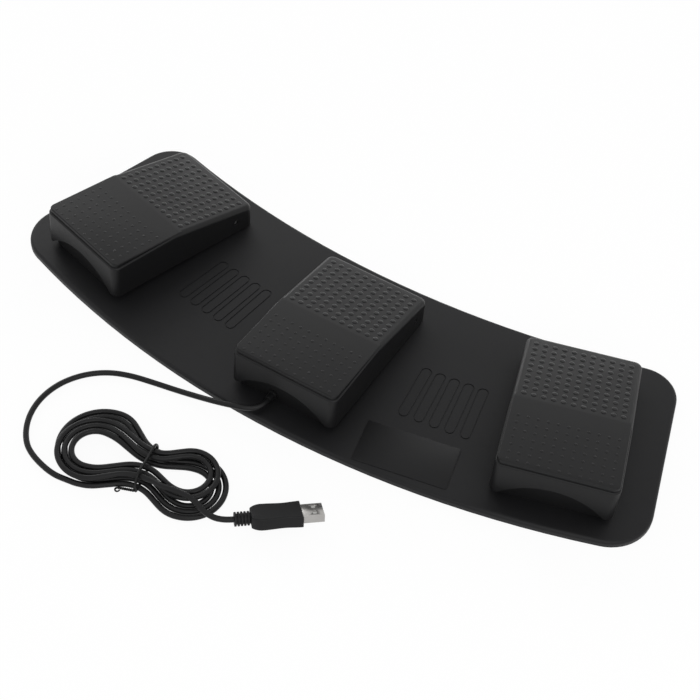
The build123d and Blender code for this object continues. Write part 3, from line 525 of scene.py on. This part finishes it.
def dot_tree(finish):
    """A grid of low round dots in straight rows."""
    tree = Tree("raised_dots", {
        "Columns": "NodeSocketInt", "Rows": "NodeSocketInt", "Column Pitch": "NodeSocketFloat",
        "Row Pitch": "NodeSocketFloat", "Dot Radius": "NodeSocketFloat", "Dot Height": "NodeSocketFloat",
    })
    columns, rows = tree.asked("Columns"), tree.asked("Rows")
    width = tree.maths("MULTIPLY", tree.maths("SUBTRACT", columns, 1), tree.asked("Column Pitch"))
    depth = tree.maths("MULTIPLY", tree.maths("SUBTRACT", rows, 1), tree.asked("Row Pitch"))
    grid = tree.add("GeometryNodeMeshGrid", {}, {
        "Size X": width, "Size Y": depth, "Vertices X": columns, "Vertices Y": rows,
    })
    radius = tree.asked("Dot Radius")
    ball = tree.add("GeometryNodeMeshUVSphere", {}, {"Segments": 10, "Rings": 6, "Radius": radius})
    flat = tree.maths("DIVIDE", tree.asked("Dot Height"), radius)
    size = tree.add("ShaderNodeCombineXYZ", {}, {"X": 1.0, "Y": 1.0, "Z": flat})
    dome = tree.add("GeometryNodeTransform", {}, {"Geometry": ball, "Scale": size})
    dots = tree.add("GeometryNodeInstanceOnPoints", {}, {"Points": grid, "Instance": dome}, "Instances")
    solid = tree.add("GeometryNodeRealizeInstances", {}, {"Geometry": dots})
    smooth = tree.add("GeometryNodeSetShadeSmooth", {}, {"Geometry": solid})
    coated = tree.add("GeometryNodeSetMaterial", {}, {"Geometry": smooth, "Material": finish})
    tree.tree.links.new(coated, tree.result.inputs["Geometry"])
    return tree


# Grip dots, raised on each cover in two fields, whose middles lie so far back from the toe edge
dots = dot_tree(finishes["pedal_plastic"].material)
TOE_DOTS = {
    "Columns": 11, "Rows": 7, "Column Pitch": 5.9 * MM, "Row Pitch": 5.7 * MM,
    "Dot Radius": 1.0 * MM, "Dot Height": 0.1 * MM,
}
HEEL_DOTS = {
    "Columns": 11, "Rows": 10, "Column Pitch": 5.9 * MM, "Row Pitch": 5.5 * MM,
    "Dot Radius": 1.8 * MM, "Dot Height": 0.3 * MM,
}
TOE_FIELD_PLACE = 20.7
HEEL_FIELD_PLACE = 80.8
DOT_FIELDS = (
    ("toe", TOE_DOTS, -TOE_FIELD_PLACE, TOE_HEIGHT - TOE_SLOPE * TOE_FIELD_PLACE, TOE_SLOPE),
    (
        "heel", HEEL_DOTS, -HEEL_FIELD_PLACE,
        KINK_HEIGHT - HEEL_SLOPE * (HEEL_FIELD_PLACE - KINK_PLACE), HEEL_SLOPE,
    ),
)


def grip_dots(side):
    """Both fields of dots of one cover, as one piece."""
    fields = []
    for field, values, along, height, slope in DOT_FIELDS:
        part = dots.use(f"{side}_{field}_dots", values)
        tilt = Matrix.Rotation(math.atan(slope), 4, "X")
        part.data.transform(pedal_matrix(side) @ Matrix.Translation(mm(0, along, height)) @ tilt)
        fields.append(part)
    shape = bmesh.new()
    for part in fields:
        shape.from_mesh(part.data)
    mesh = bpy.data.meshes.new(f"{side}_grip_dots")
    shape.to_mesh(mesh)
    shape.free()
    for part in fields:
        bpy.data.objects.remove(part)
    piece = bpy.data.objects.new(f"{side}_grip_dots", mesh)
    scene.collection.objects.link(piece)
    return place(piece, f"{side}_pedal", "pedal_plastic")


# Plain engraved outlines on the plate between the pedals: upright bars side by side
BAR_FAN = 8.1
BAR_FAN_STEP = 0.97
BAR_RADIUS = 565.0
BARS = 5
BAR_WIDTH = 7.0
BAR_LENGTH = 42.0
GROOVE_WIDTH = 0.8
GROOVE_DEPTH = 0.4
PLATE_TOP = 5.0
BAR_END_STEPS = 8


def stadium(width, length):
    """Points round an upright bar with round ends."""
    points = []
    for end, first in ((1, 0.0), (-1, math.pi)):
        for step in range(BAR_END_STEPS + 1):
            turn = first + math.pi * step / BAR_END_STEPS
            across, along = width / 2 * math.cos(turn), width / 2 * math.sin(turn)
            points.append((across, end * (length - width) / 2 + along))
    return points


def bar_cutter():
    """Closed rings that cut the bars' outlines."""
    shape = bmesh.new()
    outer = stadium(BAR_WIDTH, BAR_LENGTH)
    inner = stadium(BAR_WIDTH - 2 * GROOVE_WIDTH, BAR_LENGTH - 2 * GROOVE_WIDTH)
    low, high = PLATE_TOP - GROOVE_DEPTH, PLATE_TOP + GROOVE_DEPTH
    for hand in (-1, 1):
        for bar in range(BARS):
            turn = math.radians(hand * (BAR_FAN + BAR_FAN_STEP * (bar - (BARS - 1) / 2)))
            centre = (BAR_RADIUS * math.sin(turn), TOE_LINE - FAN_RADIUS + BAR_RADIUS * math.cos(turn), 0)
            spot = Matrix.Translation(mm(*centre)) @ Matrix.Rotation(-turn, 4, "Z")
            rings = [
                [shape.verts.new(spot @ mm(x, y, height)) for x, y in points]
                for points, height in ((outer, low), (outer, high), (inner, high), (inner, low))
            ]
            for ring, next_ring in zip(rings, rings[1:] + rings[:1]):
                for index in range(len(outer)):
                    after = (index + 1) % len(outer)
                    shape.faces.new((ring[index], ring[after], next_ring[after], next_ring[index]))
    bmesh.ops.recalc_face_normals(shape, faces=shape.faces)
    mesh = bpy.data.meshes.new("bar_cutter")
    shape.to_mesh(mesh)
    shape.free()
    cutter = bpy.data.objects.new("bar_cutter", mesh)
    scene.collection.objects.link(cutter)
    return cutter


for side in PEDAL_FAN:
    skin(f"{side}_pedal_cover", f"{side}_cover_shell")
    grip_dots(side)
    skin(f"{side}_pedal_base", f"{side}_housing")
    skin(f"{side}_hinge_pin", f"{side}_pin", bevel=0.15)
    spring = skin(f"{side}_return_spring", f"{side}_spring")
    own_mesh(spring)
cutter = bar_cutter()
skin("base_plate", "plate", grooves=cutter)
bpy.data.objects.remove(cutter)
skin("label_sticker", "label", bevel=0.08)
skin("cable_gland", "gland", bevel=0.12)
boot = skin("plug_boot", "boot", bevel=0.18)
body = skin("plug_body", "plug_grip")
shell = skin("plug_shell", "shell", bevel=0.06)
tongue = skin("plug_tongue", "tongue", bevel=0.08)
contacts = skin("plug_contacts", "contacts")

# The tie: a covered wire drawn round the bundle, its two ends twisted together and curled
TIE_PLACE = -3.0
TIE_TURN = math.radians(5.0)
TIE_WIRE = 0.85
TIE_ROUND = (
    (-14.6, 0.87), (0, 0.87), (16.9, 0.87), (17.3, 4.0), (16.2, 8.6), (13.4, 12.5), (9.2, 12.9), (3, 10.9),
    (-6, 10.0), (-11.4, 9.8), (-14.9, 6.0),
)
TWIST_TURNS = 4
TWIST_LENGTH = 10.0
TWIST_RADIUS = 0.5
TWIST_WIRE = 0.45
# Where the twist starts and ends, as across and height, and its curl: radius, turn and rise of each step
TWIST_START = (17.9, 3.6)
TWIST_END = (19.1, 2.2)
CURL_RADIUS = 1.5
CURL_STEPS = 5
CURL_TURN = 0.75
CURL_RISE = 0.1


def on_tie(across, height, beside=0.0):
    """A point in the tie's own upright plane, in the part's frame."""
    along = TIE_PLACE + beside - across * math.sin(TIE_TURN)
    return on_hank(along, across * math.cos(TIE_TURN), height)


def wire_piece(name, points, radius, closed=False):
    """A mesh tube through a spline of these control points, in millimetres."""
    curve = smooth_curve(name, points, radius)
    if closed:
        spline = curve.data.splines[0]
        spline.use_endpoint_u = False
        spline.use_cyclic_u = True
        curve.data.use_fill_caps = False
    return as_mesh(curve)


def twisted_end(name, first):
    """One of the two ends: it winds round the other beside the near strands, then curls away."""
    points = []
    steps = 8 * TWIST_TURNS
    for step in range(steps + 1):
        part = step / steps
        turn = first + 2 * math.pi * TWIST_TURNS * part
        across, height = Vector(TWIST_START).lerp(Vector(TWIST_END), part)
        across += TWIST_RADIUS * math.cos(turn)
        points.append(on_tie(across, height + TWIST_RADIUS * math.sin(turn), TWIST_LENGTH * part))
    for step in range(1, CURL_STEPS + 1):
        turn = first / 3 + CURL_TURN * step
        points.append(on_tie(
            TWIST_END[0] + CURL_RADIUS * (1 - math.cos(turn)),
            TWIST_END[1] + CURL_RISE * step,
            TWIST_LENGTH + CURL_RADIUS * math.sin(turn),
        ))
    return wire_piece(name, points, TWIST_WIRE)


tie = wire_piece("tie", [on_tie(across, height) for across, height in TIE_ROUND], TIE_WIRE, closed=True)
ends = [twisted_end("tie_end_one", 0.0), twisted_end("tie_end_two", math.pi)]
place(tie, "base", "tie_plastic", "cord_tie")
for end in ends:
    place(end, "base", "tie_plastic")

coat(cable, "cable_jacket")
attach(cable, "base")
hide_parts("cord_lead", "cord_hank", "cord_tail")


def white_rays(tree):
    """1 for the rays that see a white background: the camera's, mirrored ones and those through glass."""
    rays = tree.nodes.new("ShaderNodeLightPath")
    total = rays.outputs["Is Camera Ray"]
    for kind in ("Is Glossy Ray", "Is Transmission Ray"):
        either = tree.nodes.new("ShaderNodeMath")
        either.operation = "MAXIMUM"
        tree.links.new(total, either.inputs[0])
        tree.links.new(rays.outputs[kind], either.inputs[1])
        total = either.outputs[0]
    return total


# Floor: pale. To the white rays it is mostly glow, and the plain share that is left shows the part's shadow.
FLOOR_REACH = 6.0
FLOOR_TONE = 0.86
FLOOR_GLOW = 1.08
FLOOR_GLOW_SHARE = 0.86
floor_data = bpy.data.meshes.new("floor")
corners = [(x * FLOOR_REACH, y * FLOOR_REACH, 0) for x, y in ((-1, -1), (1, -1), (1, 1), (-1, 1))]
floor_data.from_pydata(corners, [], [(0, 1, 2, 3)])
floor = bpy.data.objects.new("floor", floor_data)
scene.collection.objects.link(floor)
floor_finish = bpy.data.materials.new("floor")
floor_finish.use_nodes = True
floor_tree = floor_finish.node_tree
floor_tree.nodes.clear()
diffuse = floor_tree.nodes.new("ShaderNodeBsdfDiffuse")
diffuse.inputs["Color"].default_value = (FLOOR_TONE, FLOOR_TONE, FLOOR_TONE, 1)
glow = floor_tree.nodes.new("ShaderNodeEmission")
glow.inputs["Color"].default_value = (1, 1, 1, 1)
glow.inputs["Strength"].default_value = FLOOR_GLOW
glow_share = floor_tree.nodes.new("ShaderNodeMath")
glow_share.operation = "MULTIPLY"
glow_share.inputs[1].default_value = FLOOR_GLOW_SHARE
mix = floor_tree.nodes.new("ShaderNodeMixShader")
out = floor_tree.nodes.new("ShaderNodeOutputMaterial")
floor_tree.links.new(white_rays(floor_tree), glow_share.inputs[0])
floor_tree.links.new(glow_share.outputs[0], mix.inputs[0])
floor_tree.links.new(diffuse.outputs[0], mix.inputs[1])
floor_tree.links.new(glow.outputs[0], mix.inputs[2])
floor_tree.links.new(mix.outputs[0], out.inputs["Surface"])
floor_data.materials.append(floor_finish)

# World: soft light, stronger from the sides than from above, with a plain white backdrop for the white rays
world = bpy.data.worlds.new("studio")
scene.world = world
world.use_nodes = True
sky = world.node_tree
sky.nodes.clear()
room = sky.nodes.new("ShaderNodeBackground")
room.inputs["Color"].default_value = (1, 1, 1, 1)
way = sky.nodes.new("ShaderNodeTexCoord")
split = sky.nodes.new("ShaderNodeSeparateXYZ")
rise = sky.nodes.new("ShaderNodeMapRange")
rise.interpolation_type = "SMOOTHSTEP"
for socket, value in (("From Min", 0.1), ("From Max", 0.8), ("To Min", 0.8), ("To Max", 0.27)):
    rise.inputs[socket].default_value = value
sky.links.new(way.outputs["Generated"], split.inputs[0])
sky.links.new(split.outputs["Z"], rise.inputs["Value"])
sky.links.new(rise.outputs["Result"], room.inputs["Strength"])
backdrop = sky.nodes.new("ShaderNodeBackground")
backdrop.inputs["Color"].default_value = (1, 1, 1, 1)
backdrop.inputs["Strength"].default_value = 1.0
sky_mix = sky.nodes.new("ShaderNodeMixShader")
sky_out = sky.nodes.new("ShaderNodeOutputWorld")
sky.links.new(white_rays(sky), sky_mix.inputs[0])
sky.links.new(room.outputs[0], sky_mix.inputs[1])
sky.links.new(backdrop.outputs[0], sky_mix.inputs[2])
sky.links.new(sky_mix.outputs[0], sky_out.inputs["Surface"])


# Lamps: all face one point in the part
LAMP_AIM = Vector((0, 0, 0.02))


def softbox(name, spot, size, power, height=None):
    """A square or long lamp that faces the part."""
    data = bpy.data.lights.new(name, "AREA")
    data.shape = "RECTANGLE"
    data.size = size
    data.size_y = height or size
    data.energy = power
    lamp = bpy.data.objects.new(name, data)
    lamp.location = spot
    lamp.rotation_euler = (LAMP_AIM - Vector(spot)).to_track_quat("-Z", "Y").to_euler()
    scene.collection.objects.link(lamp)


softbox("key", (2.0, -1.3, 1.2), 0.9, 7.0)
softbox("rim", (1.0, -2.4, 0.2), 3.0, 15.0, height=0.16)
softbox("fill", (-0.9, 0.9, 1.2), 1.4, 6.0)

scene.view_settings.view_transform = "Standard"
